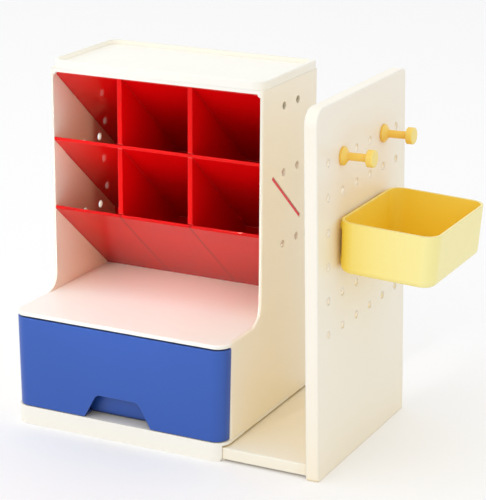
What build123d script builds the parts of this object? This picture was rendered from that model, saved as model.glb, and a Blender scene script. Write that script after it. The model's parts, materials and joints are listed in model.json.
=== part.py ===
from build123d import *
from math import cos, radians, sin, tan
import os

# Desk organizer: a cream cabinet with one drawer, six slanted pen cells and a top
# tray, and a pegboard bookend whose foot plate slides in the hollow base.
# Millimetres and degrees. +X is to the right, +Y to the back, +Z up. The origin
# is the centre of the base's underside.

# ---------------------------------------------------------------- cabinet
body_width = 180.0
body_depth = 155.0
body_height = 273.0
wall = 2.4
corner_radius = 10.5            # plan corners of base, deck, drawer front and tray
back_corner_radius = 3.0
edge_round = 0.9                # broken edges of the moulded parts
side_edge_round = 2.0           # outer front edges of the side panels
upper_setback = 61.0            # drawer front to the face of the pen cells
profile_fillet = 14.0           # inner corner of the L-shaped side panels

base_height = 14.4
base_floor_thickness = 1.6
base_floor_clearance = 0.2
foot_slot_side_clearance = 0.4
foot_slot_top_clearance = 1.4
foot_slot_floor_clearance = 0.4

deck_height = 90.0
deck_thickness = 2.7

tray_height = 6.7
tray_rim_depth = 3.6
top_panel_thickness = 2.7
top_corner_radius = 2.3         # inner corners of the frame round the pen cells

tab_length = 22.0               # tabs under the side panels, in slots of the base
tab_depth = 2.2
tab_spacing = 78.0
tab_clearance = 0.15

accessory_hole_radius = 3.05    # round holes in the side panels
accessory_hole_spacing = 24.1
right_hole_from_front = 97.1    # the two sides differ in the photo
left_hole_from_front = 105.0
accessory_row_drops = (24.3, 75.1, 131.2)   # rows of holes below the top

# ---------------------------------------------------------------- pen cells
plate_angle = 40.0              # slope of the three plates, down to the back
plate_thickness = 2.5
divider_thickness = 4.0
divider_offset = 29.9           # divider centres left and right of the middle
upper_cell_pitch = 50.2         # underside of the top panel down to the middle lip
top_plate_rise = 0.8            # top plate's underside meets the front this far up the frame
lower_cell_pitch = 54.7         # middle lip down to the bottom lip
plate_tab_from_front = 77.8     # tab of the middle plate, in the side panels' slots
plate_tab_run = 49.2
plate_tab_clearance = 0.2
plate_tab_recess = 0.5
lip_round = 0.8
plate_side_clearance = 0.1

# ---------------------------------------------------------------- drawer
drawer_front_depth = 11.2
drawer_front_wall = 2.6
drawer_front_draft = 1.0        # each side leans in by this much towards the bottom
drawer_bottom_clearance = 0.4
drawer_top_clearance = 1.3
drawer_side_clearance = 0.7
drawer_rear_clearance = 4.4     # back of the drawer box to the back panel
drawer_box_wall = 2.0
drawer_box_top_drop = 5.0       # box rim below the top of the drawer front
drawer_box_corner = 5.0
drawer_box_bottom_round = 3.0
drawer_panel_gap = 0.3          # back of the drawer front to the side panels

grip_bottom_width = 57.4        # finger cut-out in the drawer front
grip_top_width = 36.0
grip_height = 19.4
grip_top_radius = 6.0

# ---------------------------------------------------------------- bookend
bookend_gap = 66.0              # cabinet side to the board's inner edge, as built
board_lean = 1.3                # the board leans towards the cabinet
board_thickness = 9.7
board_wall = 2.4
board_depth = 162.5
board_height = 272.3
board_overhang = 0.3            # board's front edge in front of the cabinet
board_front_radius = 12.0
board_rear_radius = 5.0
board_bottom_radius = 2.5
board_rib_thickness = 1.6
board_rib_depth = 4.0

peg_hole_radius = 2.75
peg_pitch = 25.0
peg_columns = 6
peg_rows = 6
peg_top_margin = 41.1           # top of the board down to the first row

foot_reach = 27.0               # left end of the foot plate, past the cabinet's middle
foot_thickness = 8.6
foot_front_inset = 3.6
foot_rear_inset = 3.6
foot_wall = 2.2
foot_panel_gap = 0.05

# ---------------------------------------------------------------- accessories
pin_clearance = 0.08
pin_length = 5.5
hook_flange_radius = 6.8
hook_flange_thickness = 1.6
hook_shaft_radius = 2.9
hook_head_radius = 6.3
hook_head_length = 5.0
hook_length = 24.6
hook_flare = 3.0
hook_columns = (1, 4)           # counted from the front, on the top row
hook_face_gap = 0.1

bin_reach = 74.5
bin_length = 106.0
bin_height = 38.5
bin_wall = 2.0
bin_corner = 12.0
bin_bottom_round = 4.5
bin_draft = 2.0
bin_droop = 2.5                 # the bin tips down from level as it hangs
bin_rim_above_row = 6.7
bin_board_gap = 2.2
bin_row = 2                     # counted from the top row
bin_columns = (1, 4)
bin_boss_radius = 4.2

pick_tolerance = 0.01           # for picking faces and edges by place

# ---------------------------------------------------------------- worked-out places
half_width = body_width / 2
front_y = -body_depth / 2
back_y = body_depth / 2
upper_front_y = front_y + upper_setback
inner_half_width = half_width - wall
inner_back_y = back_y - wall
side_front_y = front_y + drawer_front_depth + drawer_panel_gap
tray_bottom = body_height - tray_height
tray_floor_top = body_height - tray_rim_depth
frame_top = tray_bottom - top_panel_thickness
deck_bottom = deck_height - deck_thickness
middle_lip_height = frame_top - upper_cell_pitch
bottom_lip_height = middle_lip_height - lower_cell_pitch
slope = tan(radians(plate_angle))
plate_drop = plate_thickness / cos(radians(plate_angle))

foot_bottom = base_floor_thickness + foot_slot_floor_clearance
foot_top = foot_bottom + foot_thickness
foot_slot_top = foot_top + foot_slot_top_clearance
foot_front_y = front_y + foot_front_inset
foot_rear_y = back_y - foot_rear_inset

lean_sin = sin(radians(board_lean))
lean_cos = cos(radians(board_lean))
board_front_y = front_y - board_overhang
board_outer_x = half_width + bookend_gap + board_thickness / lean_cos
board_plane = Plane(
    origin=(board_outer_x, board_front_y, 0),
    x_dir=(0, 1, 0),
    z_dir=(lean_cos, 0, lean_sin),
)
board_normal = board_plane.z_dir

peg_first_column = (board_depth - peg_pitch * (peg_columns - 1)) / 2
peg_top_row = board_height - peg_top_margin
hole_grid_centre = (board_depth / 2, peg_top_row - peg_pitch * (peg_rows - 1) / 2)


def hole_point(column, row, out=0.0):
    """Point on the board's outer face, or out from it, at one peg hole."""
    along = peg_first_column + column * peg_pitch
    up = peg_top_row - row * peg_pitch
    return board_plane.from_local_coords(Vector(along, up, out))


def plan_outline(width, depth, centre_y, front_radius, rear_radius):
    """Plan rectangle with rounded front and rear corners, in the open sketch."""
    with Locations((0, centre_y)):
        Rectangle(width, depth)
    fillet(vertices().group_by(Axis.Y)[0], front_radius)
    fillet(vertices().group_by(Axis.Y)[-1], rear_radius)


def plate_outline(lip_height):
    """Side view of a sloping plate, from its front lip down to the back panel."""
    fall = (inner_back_y - upper_front_y) * slope
    Polygon(
        (upper_front_y, lip_height),
        (inner_back_y, lip_height - fall),
        (inner_back_y, lip_height - fall - plate_drop),
        (upper_front_y, lip_height - plate_drop),
        align=None,
    )


def save(part, name):
    part.label = name
    export_step(part, f"parts/{name}.step")


os.makedirs("parts", exist_ok=True)

# ---------------------------------------------------------------- base
tab_centre_y = (side_front_y + back_y) / 2
tab_x = half_width - wall / 2

with BuildPart() as base_shell:
    with BuildSketch():
        plan_outline(body_width, body_depth, 0, corner_radius, back_corner_radius)
    extrude(amount=base_height)
    with BuildSketch():
        plan_outline(
            body_width - 2 * wall,
            body_depth - 2 * wall,
            0,
            corner_radius - wall,
            back_corner_radius - wall,
        )
    extrude(amount=foot_slot_top, mode=Mode.SUBTRACT)
    # the foot plate's slot through the right-hand wall
    slot_width = foot_rear_y - foot_front_y + 2 * foot_slot_side_clearance
    with BuildSketch(Plane.XY.offset(base_floor_thickness)):
        with Locations((half_width, (foot_front_y + foot_rear_y) / 2)):
            Rectangle(2 * corner_radius, slot_width)
    extrude(amount=foot_slot_top - base_floor_thickness, mode=Mode.SUBTRACT)
    # the floor runs out under the slot
    with BuildSketch():
        with Locations((half_width, 0)):
            Rectangle(2 * corner_radius, body_depth - 2 * wall)
    extrude(amount=base_floor_thickness, mode=Mode.SUBTRACT)
    with BuildSketch(Plane.XY.offset(base_height)):
        with Locations((0, tab_centre_y)):
            with GridLocations(2 * tab_x, tab_spacing, 2, 2):
                Rectangle(wall + 2 * tab_clearance, tab_length + 2 * tab_clearance)
    extrude(amount=-tab_depth - tab_clearance, mode=Mode.SUBTRACT)
save(base_shell.part, "base_shell")

floor_reach = wall - base_floor_clearance   # the floor's right edge passes the wall line
with BuildPart() as base_floor:
    with BuildSketch():
        with Locations((floor_reach / 2, 0)):
            Rectangle(
                body_width - 2 * (wall + base_floor_clearance) + floor_reach,
                body_depth - 2 * (wall + base_floor_clearance),
            )
        fillet(vertices(), corner_radius - wall)
    extrude(amount=base_floor_thickness)
save(base_floor.part, "base_floor")

# ---------------------------------------------------------------- side panels
tab_slope_length = plate_tab_run / cos(radians(plate_angle))
plate_tab_centre_y = front_y + plate_tab_from_front + plate_tab_run / 2
plate_tab_centre_z = (
    middle_lip_height
    - plate_drop / 2
    - (plate_tab_centre_y - upper_front_y) * slope
)



def side_panel(hole_from_front):
    """Right-hand side panel, its round holes starting this far from the front."""
    with BuildPart() as panel:
        with BuildSketch(Plane.YZ.offset(inner_half_width)):
            Polygon(
                (side_front_y, base_height),
                (side_front_y, deck_height),
                (upper_front_y, deck_height),
                (upper_front_y, tray_bottom),
                (back_y, tray_bottom),
                (back_y, base_height),
                align=None,
            )
            inner_corner = vertices().sort_by_distance((upper_front_y, deck_height))[0]
            fillet(inner_corner, profile_fillet)
        extrude(amount=wall)
        outer_front_edges = (
            edges()
            .filter_by(Axis.Z)
            .filter_by_position(Axis.X, half_width - pick_tolerance, half_width + pick_tolerance)
            .sort_by(Axis.Y)[:2]
        )
        fillet(outer_front_edges, side_edge_round)
        # tabs into the base
        with BuildSketch(Plane.XY.offset(base_height)):
            with Locations((tab_x, tab_centre_y)):
                with GridLocations(0, tab_spacing, 1, 2):
                    Rectangle(wall, tab_length)
        extrude(amount=-tab_depth)
        with BuildSketch(Plane.YZ.offset(inner_half_width)):
            for row_drop in accessory_row_drops:
                for column in range(2):
                    hole_y = front_y + hole_from_front + column * accessory_hole_spacing
                    with Locations((hole_y, body_height - row_drop)):
                        Circle(accessory_hole_radius)
            # slot for the tab of the middle pen plate
            with Locations(Location((plate_tab_centre_y, plate_tab_centre_z), -plate_angle)):
                Rectangle(
                    tab_slope_length + 2 * plate_tab_clearance,
                    plate_thickness + 2 * plate_tab_clearance,
                )
        extrude(amount=wall, mode=Mode.SUBTRACT)
    return panel.part


side_panel_right = side_panel(right_hole_from_front)
save(side_panel_right, "side_panel_right")

side_panel_left = side_panel(left_hole_from_front).mirror(Plane.YZ)
save(side_panel_left, "side_panel_left")

# ---------------------------------------------------------------- back, deck, top and tray
with BuildPart() as back_panel:
    with BuildSketch(Plane.XZ.offset(-back_y)):
        with Locations((0, (base_height + frame_top) / 2)):
            Rectangle(2 * inner_half_width, frame_top - base_height)
    extrude(amount=wall)
save(back_panel.part, "back_panel")

with BuildPart() as deck:
    with BuildSketch(Plane.XY.offset(deck_bottom)):
        plan_outline(
            body_width,
            inner_back_y - front_y,
            (front_y + inner_back_y) / 2,
            corner_radius,
            back_corner_radius,
        )
    extrude(amount=deck_thickness)
    fillet(faces().sort_by(Axis.Z)[-1].edges().sort_by(Axis.Y)[:3], edge_round)
    # notches for the side panels
    notch_length = back_y - side_front_y
    with BuildSketch(Plane.XY.offset(deck_bottom)):
        with Locations((0, (side_front_y + back_y) / 2)):
            with GridLocations(2 * tab_x, 0, 2, 1):
                Rectangle(wall, notch_length)
    extrude(amount=deck_thickness, mode=Mode.SUBTRACT)
save(deck.part, "deck")

top_depth = back_y - upper_front_y
top_centre_y = (back_y + upper_front_y) / 2
with BuildPart() as top_panel:
    with BuildSketch(Plane.XY.offset(frame_top)):
        with Locations((0, top_centre_y)):
            Rectangle(2 * inner_half_width, top_depth)
    extrude(amount=top_panel_thickness)
    # webs that round the frame's inner corners
    for side in (-1, 1):
        corner_x = side * inner_half_width
        with BuildSketch(Plane.XZ.offset(-upper_front_y)):
            with BuildLine():
                Line((corner_x, frame_top), (corner_x, frame_top - top_corner_radius))
                RadiusArc(
                    (corner_x, frame_top - top_corner_radius),
                    (corner_x - side * top_corner_radius, frame_top),
                    side * top_corner_radius,
                )
                Line((corner_x - side * top_corner_radius, frame_top), (corner_x, frame_top))
            make_face()
        extrude(amount=-wall)
save(top_panel.part, "top_panel")

with BuildPart() as top_tray:
    with BuildSketch(Plane.XY.offset(tray_bottom)):
        plan_outline(body_width, top_depth, top_centre_y, corner_radius, back_corner_radius)
    extrude(amount=tray_height)
    fillet(edges().group_by(Axis.Z)[-1], edge_round)
    with BuildSketch(Plane.XY.offset(tray_floor_top)):
        plan_outline(
            body_width - 2 * wall,
            top_depth - 2 * wall,
            top_centre_y,
            corner_radius - wall,
            corner_radius - wall,
        )
    extrude(amount=tray_rim_depth, mode=Mode.SUBTRACT)
save(top_tray.part, "top_tray")

# ---------------------------------------------------------------- pen cells
plate_width = 2 * (inner_half_width - plate_side_clearance)
top_lip_height = frame_top + top_plate_rise + plate_drop


def add_lip_round():
    """Round both long edges of the front lip in the open part."""
    front_edges = (
        edges()
        .filter_by(Axis.X)
        .filter_by_position(Axis.Y, upper_front_y - pick_tolerance, upper_front_y + pick_tolerance)
    )
    fillet(front_edges, lip_round)


with BuildPart() as pen_plate_top:
    with BuildSketch(Plane.YZ.offset(-plate_width / 2)):
        plate_outline(top_lip_height)
    extrude(amount=plate_width)
    # it starts under the top panel, clear of the corner webs
    split(bisect_by=Plane.XY.offset(frame_top), keep=Keep.BOTTOM)
    split(bisect_by=Plane.XZ.offset(-upper_front_y - wall), keep=Keep.BOTTOM)
save(pen_plate_top.part, "pen_plate_top")

with BuildPart() as pen_plate_middle:
    with BuildSketch(Plane.YZ.offset(-plate_width / 2)):
        plate_outline(middle_lip_height)
    extrude(amount=plate_width)
    add_lip_round()
    # side tabs, seen in the slots of the side panels
    tab_half_span = half_width - plate_tab_recess
    with BuildSketch(Plane.YZ.offset(-tab_half_span)):
        with Locations(Location((plate_tab_centre_y, plate_tab_centre_z), -plate_angle)):
            Rectangle(tab_slope_length, plate_thickness)
    extrude(amount=2 * tab_half_span)
save(pen_plate_middle.part, "pen_plate_middle")

with BuildPart() as pen_plate_bottom:
    with BuildSketch(Plane.YZ.offset(-plate_width / 2)):
        plate_outline(bottom_lip_height)
    extrude(amount=plate_width)
    add_lip_round()
    # it ends on the deck
    split(bisect_by=Plane.XY.offset(deck_height), keep=Keep.TOP)
save(pen_plate_bottom.part, "pen_plate_bottom")

# each divider fills the height between two plates and ends at the back panel
divider_rows = {
    "upper": (top_lip_height - plate_drop, middle_lip_height),
    "lower": (middle_lip_height - plate_drop, bottom_lip_height),
}
cell_fall = (inner_back_y - upper_front_y) * slope
for row_name, (upper_height, lower_height) in divider_rows.items():
    for side_name, side in (("left", -1), ("right", 1)):
        divider_x = side * divider_offset - divider_thickness / 2
        with BuildPart() as pen_divider:
            with BuildSketch(Plane.YZ.offset(divider_x)):
                Polygon(
                    (upper_front_y, upper_height),
                    (inner_back_y, upper_height - cell_fall),
                    (inner_back_y, lower_height - cell_fall),
                    (upper_front_y, lower_height),
                    align=None,
                )
            extrude(amount=divider_thickness)
            # the upper dividers start under the top panel, the lower ones end on the deck
            if row_name == "upper":
                split(bisect_by=Plane.XY.offset(frame_top), keep=Keep.BOTTOM)
            else:
                split(bisect_by=Plane.XY.offset(deck_height), keep=Keep.TOP)
            fillet(
                edges()
                .filter_by(Axis.Z)
                .filter_by_position(Axis.Y, upper_front_y - pick_tolerance, upper_front_y + pick_tolerance),
                lip_round,
            )
        save(pen_divider.part, f"pen_divider_{row_name}_{side_name}")

# ---------------------------------------------------------------- drawer
drawer_bottom = base_height + drawer_bottom_clearance
drawer_top = deck_bottom - drawer_top_clearance
drawer_height = drawer_top - drawer_bottom
draft_inset = drawer_height * tan(radians(drawer_front_draft))


def drawer_front_block(inset):
    """Tapered block with rounded upright corners, drawn in by inset but for its back."""
    half_top = half_width - inset
    with BuildPart() as block:
        with BuildSketch(Plane.XZ.offset(-front_y - inset)):
            Polygon(
                (-half_top, drawer_top - inset),
                (half_top, drawer_top - inset),
                (half_top - draft_inset, drawer_bottom + inset),
                (-half_top + draft_inset, drawer_bottom + inset),
                align=None,
            )
        extrude(amount=inset - drawer_front_depth)
        uprights = edges().filter_by(Axis.X, reverse=True).filter_by(Axis.Y, reverse=True)
        fillet(uprights.group_by(Axis.Y)[0], corner_radius - inset)
    return block.part


with BuildPart() as drawer_front:
    add(drawer_front_block(0))
    front_face = faces().sort_by(Axis.Y)[0]
    fillet(front_face.edges().filter_by(Axis.X), edge_round)
    add(drawer_front_block(drawer_front_wall), mode=Mode.SUBTRACT)
    # finger cut-out through the front wall and the bottom wall
    with BuildSketch(Plane.XZ.offset(-front_y)):
        with BuildLine():
            Polyline(
                (-grip_bottom_width / 2, drawer_bottom),
                (-grip_top_width / 2, drawer_bottom + grip_height),
                (grip_top_width / 2, drawer_bottom + grip_height),
                (grip_bottom_width / 2, drawer_bottom),
                close=True,
            )
        make_face()
        fillet(vertices().group_by(Axis.Y)[-1], grip_top_radius)
    extrude(amount=-drawer_front_depth, mode=Mode.SUBTRACT)
save(drawer_front.part, "drawer_front")

drawer_box_width = 2 * (inner_half_width - drawer_side_clearance)
drawer_box_front_y = front_y + drawer_front_depth
drawer_box_depth = inner_back_y - drawer_rear_clearance - drawer_box_front_y
drawer_box_height = drawer_height - drawer_box_top_drop
with BuildPart() as drawer_box:
    with BuildSketch(Plane.XY.offset(drawer_bottom)):
        with Locations((0, drawer_box_front_y + drawer_box_depth / 2)):
            Rectangle(drawer_box_width, drawer_box_depth)
        fillet(vertices(), drawer_box_corner)
    extrude(amount=drawer_box_height)
    fillet(edges().group_by(Axis.Z)[0], drawer_box_bottom_round)
    offset(amount=-drawer_box_wall, openings=faces().sort_by(Axis.Z)[-1])
save(drawer_box.part, "drawer_box")

# ---------------------------------------------------------------- pegboard bookend
board_inner_plane = board_plane.offset(-board_thickness)
pocket_depth = board_thickness - board_wall

with BuildPart() as pegboard_panel:
    with BuildSketch(board_inner_plane):
        with Locations((board_depth / 2, board_height / 2)):
            Rectangle(board_depth, board_height)
        fillet(vertices().sort_by_distance((0, board_height))[0], board_front_radius)
        fillet(
            vertices().sort_by_distance((board_depth, board_height))[0], board_rear_radius
        )
        fillet(vertices().group_by(Axis.Y)[0], board_bottom_radius)
    extrude(amount=board_thickness)
    outer_face = faces().filter_by(board_plane).sort_by(Axis.X)[-1]
    fillet(outer_face.edges(), edge_round)
    # hollow inner side, open at the bottom for the foot plate
    with BuildSketch(board_inner_plane):
        with Locations((board_depth / 2, board_height / 2 - board_wall)):
            Rectangle(board_depth - 2 * board_wall, board_height)
        fillet(
            vertices().sort_by_distance((0, board_height))[0],
            board_front_radius - board_wall,
        )
        fillet(
            vertices().sort_by_distance((board_depth, board_height))[0],
            board_rear_radius - board_wall,
        )
    extrude(amount=pocket_depth, mode=Mode.SUBTRACT)
    # stiffening ribs between the rows of holes, on the inner side of the wall
    with BuildSketch(board_plane.offset(-board_wall)):
        with Locations(hole_grid_centre):
            with GridLocations(0, peg_pitch, 1, peg_rows - 1):
                Rectangle(board_depth - 2 * board_wall, board_rib_thickness)
        foot_rib_height = foot_top + board_rib_thickness
        with Locations((board_depth / 2, foot_rib_height)):
            Rectangle(board_depth - 2 * board_wall, board_rib_thickness)
    extrude(amount=-board_rib_depth)
    with BuildSketch(board_inner_plane):
        with Locations(hole_grid_centre):
            with GridLocations(peg_pitch, peg_pitch, peg_columns, peg_rows):
                Circle(peg_hole_radius)
    extrude(amount=board_thickness, mode=Mode.SUBTRACT)
    split(bisect_by=Plane.XY, keep=Keep.TOP)
save(pegboard_panel.part, "pegboard_panel")

board_wall_inner_x = board_outer_x - board_wall / lean_cos - foot_top * lean_sin
foot_right_end = board_wall_inner_x - foot_panel_gap
with BuildPart() as foot_plate:
    with BuildSketch(Plane.XY.offset(foot_bottom)):
        with Locations(
            ((foot_right_end - foot_reach) / 2, (foot_front_y + foot_rear_y) / 2)
        ):
            Rectangle(foot_right_end + foot_reach, foot_rear_y - foot_front_y)
        # the hidden end follows the rounded inner corners of the base
        fillet(vertices().group_by(Axis.X)[0], corner_radius - wall)
    extrude(amount=foot_thickness)
    fillet(edges().filter_by(Axis.X).group_by(Axis.Z)[-1], edge_round)
    offset(amount=-foot_wall, openings=faces().sort_by(Axis.Z)[0], kind=Kind.INTERSECTION)
save(foot_plate.part, "foot_plate")

# ---------------------------------------------------------------- peg hooks
pin_radius = peg_hole_radius - pin_clearance
hook_names = ("peg_hook_front", "peg_hook_rear")
for hook_name, column in zip(hook_names, hook_columns):
    hook_plane = Plane(origin=hole_point(column, 0), x_dir=board_normal, z_dir=(0, 1, 0))
    head_start = hook_length - hook_head_length
    shaft_start = hook_face_gap + hook_flange_thickness
    with BuildPart() as peg_hook:
        with BuildSketch(hook_plane):
            with BuildLine():
                Polyline(
                    (-pin_length, 0),
                    (-pin_length, pin_radius),
                    (hook_face_gap, pin_radius),
                    (hook_face_gap, hook_flange_radius),
                    (shaft_start, hook_flange_radius),
                    (shaft_start + hook_flare, hook_shaft_radius),
                    (head_start - hook_flare / 2, hook_shaft_radius),
                    (head_start, hook_head_radius),
                    (hook_length, hook_head_radius),
                    (hook_length, 0),
                    close=True,
                )
            make_face()
        revolve(axis=Axis(hook_plane.origin, board_normal))
        fillet(edges().group_by(Axis(hook_plane.origin, board_normal))[-1], edge_round)
    save(peg_hook.part, hook_name)

# ---------------------------------------------------------------- bin
bin_centre_y = (hole_point(bin_columns[0], bin_row).Y + hole_point(bin_columns[1], bin_row).Y) / 2
row_point = hole_point(bin_columns[0], bin_row)
rim_z = row_point.Z + bin_rim_above_row
board_face_x = board_outer_x - rim_z * tan(radians(board_lean))
bin_plane = Plane(
    origin=(board_face_x + bin_board_gap, bin_centre_y, rim_z),
    x_dir=(cos(radians(bin_droop)), 0, -sin(radians(bin_droop))),
    z_dir=(sin(radians(bin_droop)), 0, cos(radians(bin_droop))),
)
with BuildPart() as storage_bin:
    with BuildSketch(bin_plane):
        with Locations((bin_reach / 2, 0)):
            Rectangle(bin_reach, bin_length)
        fillet(vertices(), bin_corner)
    extrude(amount=-bin_height, taper=bin_draft)
    fillet(faces().sort_by(Axis.Z)[0].edges(), bin_bottom_round)
    with BuildSketch(bin_plane):
        with Locations((bin_reach / 2, 0)):
            Rectangle(bin_reach - 2 * bin_wall, bin_length - 2 * bin_wall)
        fillet(vertices(), bin_corner - bin_wall)
    extrude(amount=bin_wall - bin_height, taper=bin_draft, mode=Mode.SUBTRACT)
    inner_floor = faces(Select.LAST).sort_by(Axis.Z)[0]
    fillet(inner_floor.edges(), bin_bottom_round - bin_wall)
    # pins in the peg holes, with a boss that stands off the board
    for column in bin_columns:
        for row, has_pin in ((bin_row, True), (bin_row + 1, False)):
            boss_plane = Plane(
                origin=hole_point(column, row), x_dir=(0, 1, 0), z_dir=board_normal
            )
            boss_length = bin_board_gap + bin_wall / 2
            with BuildSketch(boss_plane.offset(hook_face_gap)):
                Circle(bin_boss_radius)
            extrude(amount=boss_length - hook_face_gap)
            if has_pin:
                with BuildSketch(boss_plane.offset(-pin_length)):
                    Circle(pin_radius)
                extrude(amount=pin_length + boss_length)
save(storage_bin.part, "storage_bin")
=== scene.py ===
import bpy
import bmesh
import json
import math
from mathutils import Matrix, Vector


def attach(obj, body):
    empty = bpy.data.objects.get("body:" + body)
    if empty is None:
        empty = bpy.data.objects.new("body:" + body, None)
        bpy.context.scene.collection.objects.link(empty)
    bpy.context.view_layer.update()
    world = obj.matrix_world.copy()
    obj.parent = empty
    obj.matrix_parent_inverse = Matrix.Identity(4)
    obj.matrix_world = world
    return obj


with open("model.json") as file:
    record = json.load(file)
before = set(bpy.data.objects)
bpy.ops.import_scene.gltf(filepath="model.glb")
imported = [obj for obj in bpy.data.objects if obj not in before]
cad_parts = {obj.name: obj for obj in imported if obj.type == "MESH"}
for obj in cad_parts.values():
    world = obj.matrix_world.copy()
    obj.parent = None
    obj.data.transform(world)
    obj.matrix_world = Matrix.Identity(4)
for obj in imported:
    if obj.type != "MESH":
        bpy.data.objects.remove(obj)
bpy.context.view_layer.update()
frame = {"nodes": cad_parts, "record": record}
nodes = frame["nodes"]
print("frame loaded with", len(nodes), "nodes")


# camera, set to the photograph's viewpoint
cameraView = {
    "place": (0.66994, -1.22807, 0.56464),   # metres, from the base's centre
    "turn": 26.29,        # degrees to the left of straight ahead
    "tip": 16.49,         # degrees down
    "roll": 0.33,         # degrees
    "lens": 137.28,       # millimetres, with the sensor's width below
    "sensor": 36.0,
    "shift": (0.0069, -0.0526),
    "clip": (0.05, 40.0),
}


def makeCamera(values):
    data = bpy.data.cameras.new("photoCamera")
    data.lens = values["lens"]
    data.sensor_width = values["sensor"]
    data.shift_x, data.shift_y = values["shift"]
    data.clip_start, data.clip_end = values["clip"]
    camera = bpy.data.objects.new("photoCamera", data)
    turned = (
        Matrix.Rotation(math.radians(values["turn"]), 4, "Z")
        @ Matrix.Rotation(math.radians(90.0 - values["tip"]), 4, "X")
        @ Matrix.Rotation(math.radians(values["roll"]), 4, "Z")
    )
    camera.matrix_world = Matrix.Translation(values["place"]) @ turned
    bpy.context.scene.collection.objects.link(camera)
    bpy.context.scene.camera = camera


makeCamera(cameraView)
print("camera placed")


# the curve between a screen's values and linear light
screenCurve = {"full": 255.0, "toe": 0.04045, "toeSlope": 12.92, "lift": 0.055, "power": 2.4}


def fromScreen(red, green, blue):
    # a colour as read off a screen, 0 to 255, made linear for the shader
    lift = screenCurve["lift"]
    colour = []
    for part in (red, green, blue):
        step = part / screenCurve["full"]
        if step <= screenCurve["toe"]:
            colour.append(step / screenCurve["toeSlope"])
        else:
            colour.append(((step + lift) / (1.0 + lift)) ** screenCurve["power"])
    return colour + [1.0]


# shared shader groups
floatKind, vectorKind, colourKind = "NodeSocketFloat", "NodeSocketVector", "NodeSocketColor"
# the mix node's colour sockets only go by number
mixShare, mixUnder, mixOver, mixResult = 0, 6, 7, 2


def startGroup(name, inputs, outputs):
    group = bpy.data.node_groups.new(name, "ShaderNodeTree")
    for label, (kind, value) in inputs.items():
        socket = group.interface.new_socket(label, in_out="INPUT", socket_type=kind)
        if value is not None:
            socket.default_value = value
    for label, kind in outputs.items():
        group.interface.new_socket(label, in_out="OUTPUT", socket_type=kind)
    given = group.nodes.new("NodeGroupInput").outputs
    made = group.nodes.new("NodeGroupOutput").inputs
    return group, given, made


def addNode(tree, kind, settings=None, inputs=None):
    # settings are the node's own; an input is a value or the socket that feeds it
    node = tree.nodes.new(kind)
    for name, value in (settings or {}).items():
        setattr(node, name, value)
    for name, value in (inputs or {}).items():
        if isinstance(value, bpy.types.NodeSocket):
            tree.links.new(value, node.inputs[name])
        else:
            node.inputs[name].default_value = value
    return node


def addMath(tree, operation, *values):
    node = addNode(tree, "ShaderNodeMath", {"operation": operation}, dict(enumerate(values)))
    return node.outputs["Value"]


def addMix(tree, share, under, over):
    # lays one colour over another, as far as the share says
    node = addNode(tree, "ShaderNodeMix", {"data_type": "RGBA"}, {
        mixShare: share, mixUnder: under, mixOver: over,
    })
    return node.outputs[mixResult]


def makeMouldGrain():
    # fine spark-eroded grain of the mould, over a slow waviness of the wall
    group, given, made = startGroup("mouldGrain", {
        "Vector": (vectorKind, None),
        "Grain Scale": (floatKind, 2200.0),
        "Wave Scale": (floatKind, 26.0),
        "Wave Amount": (floatKind, 0.5),
    }, {"Height": floatKind})
    grain = addNode(group, "ShaderNodeTexNoise", inputs={
        "Vector": given["Vector"], "Scale": given["Grain Scale"],
        "Detail": 2.0, "Roughness": 0.6,
    })
    wave = addNode(group, "ShaderNodeTexNoise", inputs={
        "Vector": given["Vector"], "Scale": given["Wave Scale"],
        "Detail": 1.0, "Roughness": 0.4,
    })
    waved = addMath(group, "MULTIPLY", wave.outputs["Fac"], given["Wave Amount"])
    total = addMath(group, "ADD", grain.outputs["Fac"], waved)
    group.links.new(total, made["Height"])
    return group


def makePigmentShift():
    # slow drift of the pigment, as it flows in the mould
    group, given, made = startGroup("pigmentShift", {
        "Vector": (vectorKind, None),
        "Colour": (colourKind, None),
        "Deep Colour": (colourKind, None),
        "Scale": (floatKind, 9.0),
        "Amount": (floatKind, 0.3),
    }, {"Colour": colourKind})
    flow = addNode(group, "ShaderNodeTexNoise", inputs={
        "Vector": given["Vector"], "Scale": given["Scale"],
        "Detail": 3.0, "Distortion": 0.6,
    })
    share = addMath(group, "MULTIPLY", flow.outputs["Fac"], given["Amount"])
    mixed = addMix(group, share, given["Colour"], given["Deep Colour"])
    group.links.new(mixed, made["Colour"])
    return group


def makeHandling():
    # faint smears where hands polish the satin skin
    group, given, made = startGroup("handlingMarks", {
        "Vector": (vectorKind, None),
        "Scale": (floatKind, 34.0),
        "Low": (floatKind, 0.3),
        "High": (floatKind, 0.42),
    }, {"Roughness": floatKind})
    smear = addNode(group, "ShaderNodeTexNoise", inputs={
        "Vector": given["Vector"], "Scale": given["Scale"],
        "Detail": 2.0, "Roughness": 0.5,
    })
    spread = addNode(group, "ShaderNodeMapRange", {"interpolation_type": "SMOOTHSTEP"}, {
        "Value": smear.outputs["Fac"], "From Min": 0.25, "From Max": 0.75,
        "To Min": given["Low"], "To Max": given["High"],
    })
    group.links.new(spread.outputs["Result"], made["Roughness"])
    return group


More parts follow.
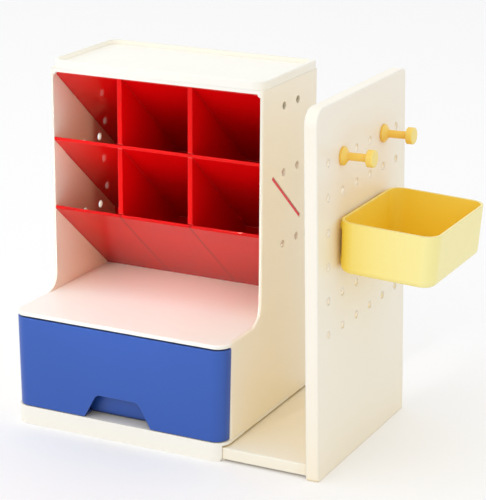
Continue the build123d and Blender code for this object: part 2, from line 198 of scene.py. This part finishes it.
def makePaintedEdgeHighlight():
    # painted highlight: a paler colour laid along the edges, where rounded edges would catch
    # the light; the bevelled normal gives the edges real rounded shading
    group, given, made = startGroup("edgeLight", {
        "Radius": (floatKind, 0.0007),
        "Reach": (floatKind, 0.25),
    }, {"Mask": floatKind, "Normal": vectorKind})
    rounded = addNode(group, "ShaderNodeBevel", {"samples": 4}, {"Radius": given["Radius"]})
    flat = addNode(group, "ShaderNodeNewGeometry")
    turn = addNode(group, "ShaderNodeVectorMath", {"operation": "DOT_PRODUCT"}, {
        0: rounded.outputs["Normal"], 1: flat.outputs["Normal"],
    })
    lowest = addMath(group, "SUBTRACT", 1.0, given["Reach"])
    mask = addNode(group, "ShaderNodeMapRange", inputs={
        "Value": turn.outputs["Value"], "From Min": 0.985, "From Max": lowest,
    })
    group.links.new(mask.outputs["Result"], made["Mask"])
    group.links.new(rounded.outputs["Normal"], made["Normal"])
    return group


def makePaintedHollowShade():
    # painted shade and bounce light: where walls face each other and are occluded, the colour
    # is laid deeper
    group, given, made = startGroup("hollowTint", {
        "Distance": (floatKind, 0.05),
        "Power": (floatKind, 1.0),
        "Share": (floatKind, 1.0),
    }, {"Mask": floatKind})
    openness = addNode(group, "ShaderNodeAmbientOcclusion", {"samples": 6}, {
        "Distance": given["Distance"],
    })
    closed = addMath(group, "SUBTRACT", 1.0, openness.outputs["AO"])
    curved = addMath(group, "POWER", closed, given["Power"])
    group.links.new(addMath(group, "MULTIPLY", curved, given["Share"]), made["Mask"])
    return group


def makePaintedSinkShade():
    # painted shade of the shallow sink lines where ribs stand on the other side of a wall,
    # left and right of the middle
    group, given, made = startGroup("paintedSinkShade", {
        "Vector": (vectorKind, None),
        "Offset": (floatKind, 0.03),
        "Width": (floatKind, 0.001),
    }, {"Mask": floatKind})
    parts = addNode(group, "ShaderNodeSeparateXYZ", inputs={"Vector": given["Vector"]})
    side = addMath(group, "ABSOLUTE", parts.outputs["X"])
    away = addMath(group, "ABSOLUTE", addMath(group, "SUBTRACT", side, given["Offset"]))
    mask = addNode(group, "ShaderNodeMapRange", inputs={
        "Value": away, "From Min": given["Width"], "From Max": 0.0,
    })
    group.links.new(mask.outputs["Result"], made["Mask"])
    return group


mouldGrain = makeMouldGrain()
pigmentShift = makePigmentShift()
handlingMarks = makeHandling()
edgeLight = makePaintedEdgeHighlight()
hollowTint = makePaintedHollowShade()
paintedSinkShade = makePaintedSinkShade()
print("shader groups made")


# moulded plastics, one per colour, and variants for pieces that stand in other light, whose
# colours carry painted shade and highlight
bodyValues = {"ior": 1.5, "gloss": 0.5, "bumpDistance": 0.0004}
# in each table the hollow colour is painted shade and bounce light, and the edge colour a
# painted highlight
creamValues = {
    "colour": (254, 253, 246), "deep": (252, 249, 236), "edge": (254, 253, 248),
    "rough": (0.34, 0.46), "smearScale": 30.0, "drift": 0.35, "driftScale": 8.0,
    "grainScale": 2400.0, "waveScale": 22.0, "waveAmount": 0.6, "bump": 0.08,
    "edgeShare": 0.5, "edgeRadius": 0.0007, "sheenTint": (255, 255, 255),
    "hollow": (255, 226, 168), "hollowDistance": 0.05, "hollowPower": 1.4, "hollowShare": 0.3,
}
# side and back panels stand in shade: a warmer cream as painted shade, and deeper painted
# shade in the hollows
panelValues = dict(
    creamValues, colour=(254, 249, 236), deep=(252, 244, 226),
    hollow=(255, 228, 164), hollowDistance=0.11, hollowPower=2.6, hollowShare=0.55,
)
# the pegboard's edges and hole walls are laid bright, a full painted highlight
boardValues = dict(
    panelValues, deep=(252, 243, 224), edge=(255, 255, 252),
    edgeShare=1.0, edgeRadius=0.0016, hollowPower=1.6, hollowShare=0.8,
)
# painted orange bounce light from the red cells in the left panel's hollows
leftPanelValues = dict(panelValues, hollow=(255, 186, 116), hollowPower=3.2, hollowShare=0.8)
# the foot plate gets painted shade at full share where it is occluded
footValues = dict(panelValues, colour=(254, 252, 242), hollowPower=2.3, hollowShare=1.0)
redValues = {
    "colour": (238, 8, 12), "deep": (224, 3, 8), "edge": (255, 172, 162),
    "rough": (0.03, 0.065), "smearScale": 40.0, "drift": 0.4, "driftScale": 11.0,
    "grainScale": 900.0, "waveScale": 24.0, "waveAmount": 2.0, "bump": 0.008,
    "edgeShare": 0.9, "edgeRadius": 0.0006, "sheenTint": (255, 150, 140),
    "hollow": (140, 0, 4), "hollowDistance": 0.05, "hollowPower": 2.2, "hollowShare": 0.6,
}
# the slope's red is laid darker as painted shade, and its sink lines as a darker painted line
slopeValues = dict(
    redValues, colour=(216, 8, 12), deep=(203, 3, 8),
    sinkShadeColour=(166, 14, 16), sinkOffset=0.0299, sinkWidth=0.0017,
)
blueValues = {
    "colour": (44, 90, 181), "deep": (34, 78, 168), "edge": (128, 164, 236),
    "rough": (0.29, 0.37), "smearScale": 26.0, "drift": 0.4, "driftScale": 9.0,
    "grainScale": 1100.0, "waveScale": 24.0, "waveAmount": 0.8, "bump": 0.016,
    "edgeShare": 0.6, "edgeRadius": 0.0007, "sheenTint": (255, 255, 255),
    "hollow": (20, 30, 66), "hollowDistance": 0.014, "hollowPower": 1.3, "hollowShare": 0.9,
}
yellowValues = {
    "colour": (255, 244, 166), "deep": (255, 238, 152), "edge": (255, 246, 184),
    "rough": (0.17, 0.25), "smearScale": 42.0, "drift": 0.35, "driftScale": 14.0,
    "grainScale": 1500.0, "waveScale": 32.0, "waveAmount": 0.9, "bump": 0.02,
    "edgeShare": 0.5, "edgeRadius": 0.0007, "sheenTint": (255, 255, 255),
    "hollow": (255, 216, 8), "hollowDistance": 0.09, "hollowPower": 0.45, "hollowShare": 1.0,
}
# the hooks' yellow is laid darker and more orange as painted shade, deepest near the board
hookValues = dict(
    yellowValues, colour=(255, 233, 128), deep=(252, 223, 108), edge=(255, 240, 160),
    hollow=(250, 184, 24), hollowDistance=0.04,
)


def plasticMaterial(name, values):
    material = bpy.data.materials.new(name)
    material.use_nodes = True
    tree = material.node_tree
    shader = tree.nodes["Principled BSDF"]
    shader.inputs["IOR"].default_value = bodyValues["ior"]
    shader.inputs["Specular IOR Level"].default_value = bodyValues["gloss"]
    shader.inputs["Specular Tint"].default_value = fromScreen(*values["sheenTint"])
    place = addNode(tree, "ShaderNodeTexCoord").outputs["Object"]

    def addGroup(group, inputs):
        return addNode(tree, "ShaderNodeGroup", {"node_tree": group}, inputs)

    grain = addGroup(mouldGrain, {
        "Vector": place,
        "Grain Scale": values["grainScale"],
        "Wave Scale": values["waveScale"],
        "Wave Amount": values["waveAmount"],
    })
    pigment = addGroup(pigmentShift, {
        "Vector": place,
        "Colour": fromScreen(*values["colour"]),
        "Deep Colour": fromScreen(*values["deep"]),
        "Scale": values["driftScale"],
        "Amount": values["drift"],
    })
    smear = addGroup(handlingMarks, {
        "Vector": place,
        "Scale": values["smearScale"],
        "Low": values["rough"][0],
        "High": values["rough"][1],
    })
    # painted shade and bounce light for the hollows, from occlusion
    hollow = addGroup(hollowTint, {
        "Distance": values["hollowDistance"],
        "Power": values["hollowPower"],
        "Share": values["hollowShare"],
    })
    # painted highlight mask for the edges, and their rounded normal
    edge = addGroup(edgeLight, {"Radius": values["edgeRadius"]})

    # pigment, then the painted shade of the hollows, the painted shade of the sink lines if
    # any, and the painted edge highlights on top
    colour = addMix(
        tree, hollow.outputs["Mask"], pigment.outputs["Colour"], fromScreen(*values["hollow"]),
    )
    if "sinkShadeColour" in values:
        sinkShade = addGroup(paintedSinkShade, {
            "Vector": place,
            "Offset": values["sinkOffset"],
            "Width": values["sinkWidth"],
        })
        colour = addMix(tree, sinkShade.outputs["Mask"], colour, fromScreen(*values["sinkShadeColour"]))
    edgeMask = addMath(tree, "MULTIPLY", edge.outputs["Mask"], values["edgeShare"])
    colour = addMix(tree, edgeMask, colour, fromScreen(*values["edge"]))
    bump = addNode(tree, "ShaderNodeBump", inputs={
        "Height": grain.outputs["Height"],
        "Normal": edge.outputs["Normal"],
        "Strength": values["bump"],
        "Distance": bodyValues["bumpDistance"],
    })
    tree.links.new(colour, shader.inputs["Base Color"])
    tree.links.new(smear.outputs["Roughness"], shader.inputs["Roughness"])
    tree.links.new(bump.outputs["Normal"], shader.inputs["Normal"])
    return material


materials = {
    "cream_plastic": plasticMaterial("creamPlastic", creamValues),
    "red_plastic": plasticMaterial("redPlastic", redValues),
    "blue_plastic": plasticMaterial("bluePlastic", blueValues),
    "yellow_plastic": plasticMaterial("yellowPlastic", yellowValues),
}
ownMaterials = {}
for name, values, itsNodes in (
    ("redSlopePlastic", slopeValues, ("pen_plate_bottom",)),
    ("creamPanelPlastic", panelValues, ("side_panel_right", "back_panel")),
    ("creamLeftPanelPlastic", leftPanelValues, ("side_panel_left",)),
    ("creamBoardPlastic", boardValues, ("pegboard_panel",)),
    ("creamFootPlastic", footValues, ("foot_plate",)),
    ("yellowHookPlastic", hookValues, ("peg_hook_front", "peg_hook_rear")),
):
    plastic = plasticMaterial(name, values)
    for nodeName in itsNodes:
        ownMaterials[nodeName] = plastic


def paint(piece, material):
    piece.data.materials.clear()
    piece.data.materials.append(material)


for subpart in frame["record"]["subparts"]:
    plastic = ownMaterials.get(subpart["node"], materials[subpart["material_slot"]])
    paint(nodes[subpart["node"]], plastic)
print("plastics given to the nodes")


# the red mouldings' sharp edges are broken, so that they catch the light
brokenEdgeValues = {"width": 0.0005, "segments": 2, "angle": 50.0, "merge": 0.00001}


def breakEdges(piece, values):
    weld = piece.modifiers.new("weld", "WELD")
    weld.merge_threshold = values["merge"]
    bevel = piece.modifiers.new("bevel", "BEVEL")
    bevel.width = values["width"]
    bevel.segments = values["segments"]
    bevel.limit_method = "ANGLE"
    bevel.angle_limit = math.radians(values["angle"])


for nodeName, node in nodes.items():
    if nodeName.startswith("pen_"):
        breakEdges(node, brokenEdgeValues)
print("edges of the pen cells broken")


# red backs of the pen cells, in front of the back panel; each height runs from low to high
cellBackValues = {
    "halfWidth": 0.0874, "front": 0.0744, "back": 0.0750, "bevel": 0.0001,
    "heights": {"cellBackUpper": (0.1362, 0.1878), "cellBackLower": (0.0902, 0.1336)},
}


def makeCellBack(name, values):
    low, high = values["heights"][name]
    front, back = values["front"], values["back"]
    size = (2 * values["halfWidth"], back - front, high - low)
    middle = (0.0, (front + back) / 2, (low + high) / 2)
    bm = bmesh.new()
    bmesh.ops.create_cube(bm, size=1.0)
    bmesh.ops.scale(bm, vec=size, verts=bm.verts)
    bmesh.ops.translate(bm, vec=middle, verts=bm.verts)
    bmesh.ops.bevel(
        bm, geom=list(bm.edges), offset=values["bevel"],
        affect="EDGES", segments=1, profile=0.5, material=-1,
    )
    mesh = bpy.data.meshes.new(name)
    bm.to_mesh(mesh)
    bm.free()
    piece = bpy.data.objects.new(name, mesh)
    bpy.context.scene.collection.objects.link(piece)
    paint(piece, materials["red_plastic"])
    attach(piece, "cabinet")


for pieceName in cellBackValues["heights"]:
    makeCellBack(pieceName, cellBackValues)
print("backs of the pen cells made")


# pale studio floor, lamps and world
white = (1.0, 1.0, 1.0, 1.0)
studio = {
    "floorSize": 14.0,
    "floorColour": (0.84, 0.84, 0.85, 1.0),
    "floorRough": 0.7,
    "floorLift": 0.155,       # a glow that only the camera and mirrored views see
    "worldStrength": 0.86,    # on the object; what is seen of the world itself is white
    # name: place, aim, width and height, spread in degrees, watts
    "lamps": {
        "keyLamp": ((-0.9, -2.0, 1.35), (0.03, 0.0, 0.12), (1.6, 1.6), 180.0, 7.2),
        "leftLamp": ((-2.0, -0.7, 1.5), (0.03, 0.0, 0.12), (1.4, 1.4), 180.0, 4.5),
        "frontLamp": ((0.7, -2.1, 1.0), (0.03, 0.0, 0.12), (1.4, 1.4), 180.0, 2.4),
        "topLamp": ((0.0, 0.0, 2.4), (0.03, 0.0, 0.12), (1.8, 1.8), 180.0, 2.6),
        "cellLamp": (
            (0.67, -0.75, 0.471), (-0.085, 0.005, 0.205), (0.06, 0.06), 8.0, 0.0065,
        ),
        "alcoveLamp": (
            (-0.121, -0.841, 0.766), (0.0, 0.018, 0.089), (0.16, 0.04), 12.0, 0.030,
        ),
    },
}


def seenShare(tree, rays):
    # one where any of these rays arrives, else zero
    path = addNode(tree, "ShaderNodeLightPath")
    share = path.outputs[rays[0]]
    for ray in rays[1:]:
        share = addMath(tree, "MAXIMUM", share, path.outputs[ray])
    return share


def makeFloor(values):
    mesh = bpy.data.meshes.new("studioFloor")
    bm = bmesh.new()
    bmesh.ops.create_grid(bm, x_segments=1, y_segments=1, size=values["floorSize"] / 2)
    bm.to_mesh(mesh)
    bm.free()
    floor = bpy.data.objects.new("studioFloor", mesh)
    bpy.context.scene.collection.objects.link(floor)
    material = bpy.data.materials.new("paleFloor")
    material.use_nodes = True
    tree = material.node_tree
    shader = tree.nodes["Principled BSDF"]
    shader.inputs["Base Color"].default_value = values["floorColour"]
    shader.inputs["Roughness"].default_value = values["floorRough"]
    shader.inputs["Emission Color"].default_value = white
    seen = seenShare(tree, ("Is Camera Ray", "Is Glossy Ray"))
    lift = addMath(tree, "MULTIPLY", seen, values["floorLift"])
    tree.links.new(lift, shader.inputs["Emission Strength"])
    paint(floor, material)


def makeWorld(values):
    world = bpy.data.worlds.new("studioWorld")
    world.use_nodes = True
    tree = world.node_tree
    background = tree.nodes["Background"]
    background.inputs["Color"].default_value = white
    strength = addNode(tree, "ShaderNodeMapRange", inputs={
        "Value": seenShare(tree, ("Is Camera Ray", "Is Glossy Ray", "Is Transmission Ray")),
        "To Min": values["worldStrength"],
        "To Max": 1.0,
    })
    tree.links.new(strength.outputs["Result"], background.inputs["Strength"])
    bpy.context.scene.world = world


def makeLamp(name, place, aim, size, spread, power):
    data = bpy.data.lights.new(name, "AREA")
    data.shape = "RECTANGLE"
    data.size, data.size_y = size
    data.spread = math.radians(spread)
    data.energy = power
    lamp = bpy.data.objects.new(name, data)
    lamp.location = place
    lamp.rotation_euler = (Vector(aim) - Vector(place)).to_track_quat("-Z", "Y").to_euler()
    bpy.context.scene.collection.objects.link(lamp)


makeFloor(studio)
makeWorld(studio)
for lampName, lampValues in studio["lamps"].items():
    makeLamp(lampName, *lampValues)
bpy.context.scene.view_settings.view_transform = "Standard"
print("floor, world and lamps made")
